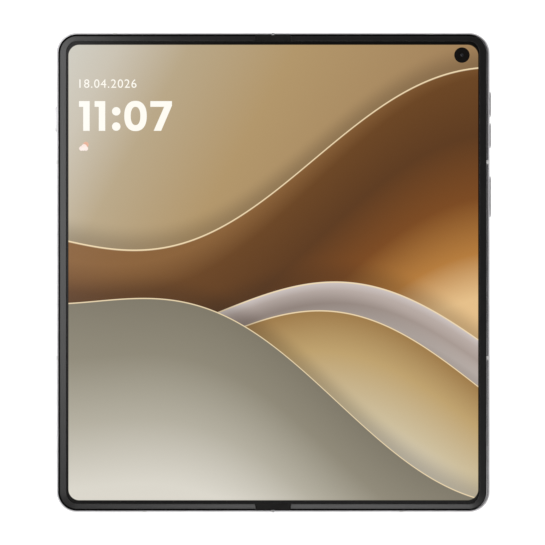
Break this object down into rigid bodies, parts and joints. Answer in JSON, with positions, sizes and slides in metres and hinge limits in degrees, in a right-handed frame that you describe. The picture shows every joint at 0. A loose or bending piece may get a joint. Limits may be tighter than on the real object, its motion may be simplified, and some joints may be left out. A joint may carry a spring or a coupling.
{
  "type": "foldable smartphone",
  "caption": "Book-style foldable smartphone, open flat, with a flexible inner display, a geared drop hinge, pressable side keys and a rear camera island.",
  "frame": {"origin": "middle of the fold, at the plane that the camera island's lens rings touch when the phone lies open on its back", "axes": "+X across the fold to the half with the power key, +Y along the fold to the top of the phone, +Z out of the folding display"},
  "size_m": [0.1456, 0.16, 0.0068],
  "materials": {
    "frame_metal": "fine bead-blasted, anodised",
    "antenna_plastic": "matte",
    "bezel_plastic": "satin",
    "cover_glass": "etched, satin",
    "black_glass": "polished",
    "island_metal": "satin, anodised",
    "lens_glass": "polished",
    "flash_plastic": "frosted",
    "camera_black": "matte",
    "circuit_board": "solder mask",
    "battery_foil": "foil wrapped",
    "copper": "enamelled wire",
    "socket_steel": "stamped",
    "speaker_plastic": "moulded",
    "motor_steel": "stamped",
    "magnet_nickel": "nickel plated",
    "screw_steel": "turned",
    "hinge_steel": "injection moulded, passivated",
    "gear_brass": "machined",
    "spine_metal": "bead-blasted, anodised",
    "display_panel": "flexible display under a protective film, lit",
    "outer_display": "display stack",
    "key_metal": "satin, anodised",
    "cap_rubber": "matte",
    "flex_polyimide": "polyimide film"
  },
  "bodies": {
    "spine": {"hinge_spine": "spine_metal", "hinge_base_upper": "hinge_steel", "hinge_base_lower": "hinge_steel", "gear_base": "hinge_steel", "gear_shafts": "hinge_steel", "spine_plate": "hinge_steel", "friction_springs": "hinge_steel", "display_fold": "display_panel", "hinge_caps": "cap_rubber", "fold_flex": "flex_polyimide"},
    "right_half": {"right_frame": "frame_metal", "right_antenna_bands": "antenna_plastic", "right_bezel": "bezel_plastic", "right_back_cover": "cover_glass", "camera_island": "island_metal", "lens_glasses": "lens_glass", "flash_lens": "flash_plastic", "main_camera": "camera_black", "wide_camera": "camera_black", "zoom_camera": "camera_black", "display_camera": "camera_black", "main_board": "circuit_board", "right_battery": "battery_foil", "charging_coil": "copper", "usb_socket": "socket_steel", "usb_board": "circuit_board", "loudspeaker": "speaker_plastic", "haptic_motor": "motor_steel", "key_switches": "flex_polyimide", "right_magnets": "magnet_nickel", "right_screws": "screw_steel", "swing_arm_right_upper": "hinge_steel", "swing_arm_right_lower": "hinge_steel", "display_right": "display_panel"},
    "left_half": {"left_frame": "frame_metal", "left_antenna_bands": "antenna_plastic", "left_bezel": "bezel_plastic", "outer_display_glass": "black_glass", "outer_display_panel": "outer_display", "outer_camera": "camera_black", "left_battery": "battery_foil", "left_board": "circuit_board", "earpiece": "speaker_plastic", "assist_switch": "flex_polyimide", "left_magnets": "magnet_nickel", "left_screws": "screw_steel", "swing_arm_left_upper": "hinge_steel", "swing_arm_left_lower": "hinge_steel", "display_left": "display_panel"},
    "sync_right": {"sync_arm_right": "gear_brass"},
    "sync_left": {"sync_arm_left": "gear_brass"},
    "idler_right": {"idler_gear_right": "gear_brass"},
    "idler_left": {"idler_gear_left": "gear_brass"},
    "wing_right": {"wing_plate_right": "hinge_steel"},
    "wing_left": {"wing_plate_left": "hinge_steel"},
    "volume_up": {"volume_up_key": "key_metal"},
    "volume_down": {"volume_down_key": "key_metal"},
    "power": {"power_key": "key_metal"},
    "assist": {"assist_key": "key_metal"},
    "tray": {"card_tray": "key_metal"}
  },
  "joints": [
    {"name": "right_fold", "type": "hinge", "parent": "spine", "child": "right_half", "pos_m": [0.0014, 0, 0.00565], "axis": [0, -1, 0], "range_deg": [0, 90], "deforming": ["display_fold", "hinge_caps", "fold_flex"]},
    {"name": "left_fold", "type": "hinge", "parent": "spine", "child": "left_half", "pos_m": [-0.0014, 0, 0.00565], "axis": [0, 1, 0], "range_deg": [0, 90]},
    {"name": "right_sync_turn", "type": "hinge", "parent": "spine", "child": "sync_right", "pos_m": [0.00225, 0, 0.00462], "axis": [0, -1, 0], "range_deg": [0, 90]},
    {"name": "left_sync_turn", "type": "hinge", "parent": "spine", "child": "sync_left", "pos_m": [-0.00225, 0, 0.00462], "axis": [0, 1, 0], "range_deg": [0, 90]},
    {"name": "right_idler_turn", "type": "hinge", "parent": "spine", "child": "idler_right", "pos_m": [0.00075, 0, 0.00462], "axis": [0, -1, 0], "range_deg": [-90, 0]},
    {"name": "left_idler_turn", "type": "hinge", "parent": "spine", "child": "idler_left", "pos_m": [-0.00075, 0, 0.00462], "axis": [0, 1, 0], "range_deg": [-90, 0]},
    {"name": "right_wing_tilt", "type": "hinge", "parent": "right_half", "child": "wing_right", "pos_m": [0.0077, 0, 0.00532], "axis": [0, -1, 0], "range_deg": [0, 9]},
    {"name": "left_wing_tilt", "type": "hinge", "parent": "left_half", "child": "wing_left", "pos_m": [-0.0077, 0, 0.00532], "axis": [0, 1, 0], "range_deg": [0, 9]},
    {"name": "volume_up_press", "type": "slide", "parent": "right_half", "child": "volume_up", "axis": [-1, 0, 0], "range_m": [0, 0.0003], "stiffness_N_per_m": 900},
    {"name": "volume_down_press", "type": "slide", "parent": "right_half", "child": "volume_down", "axis": [-1, 0, 0], "range_m": [0, 0.0003], "stiffness_N_per_m": 900},
    {"name": "power_press", "type": "slide", "parent": "right_half", "child": "power", "axis": [-1, 0, 0], "range_m": [0, 0.0003], "stiffness_N_per_m": 900},
    {"name": "assist_press", "type": "slide", "parent": "left_half", "child": "assist", "axis": [1, 0, 0], "range_m": [0, 0.0003], "stiffness_N_per_m": 900},
    {"name": "tray_pull", "type": "slide", "parent": "right_half", "child": "tray", "axis": [0, -1, 0], "range_m": [0, 0.018]}
  ],
  "couplings": [
    {"joint": "left_fold", "follows": "right_fold", "ratio": 1},
    {"joint": "right_sync_turn", "follows": "right_fold", "ratio": 1},
    {"joint": "left_sync_turn", "follows": "right_fold", "ratio": 1},
    {"joint": "right_idler_turn", "follows": "right_fold", "ratio": -1},
    {"joint": "left_idler_turn", "follows": "right_fold", "ratio": -1},
    {"joint": "right_wing_tilt", "follows": "right_fold", "ratio": 0.1},
    {"joint": "left_wing_tilt", "follows": "right_fold", "ratio": 0.1}
  ]
}
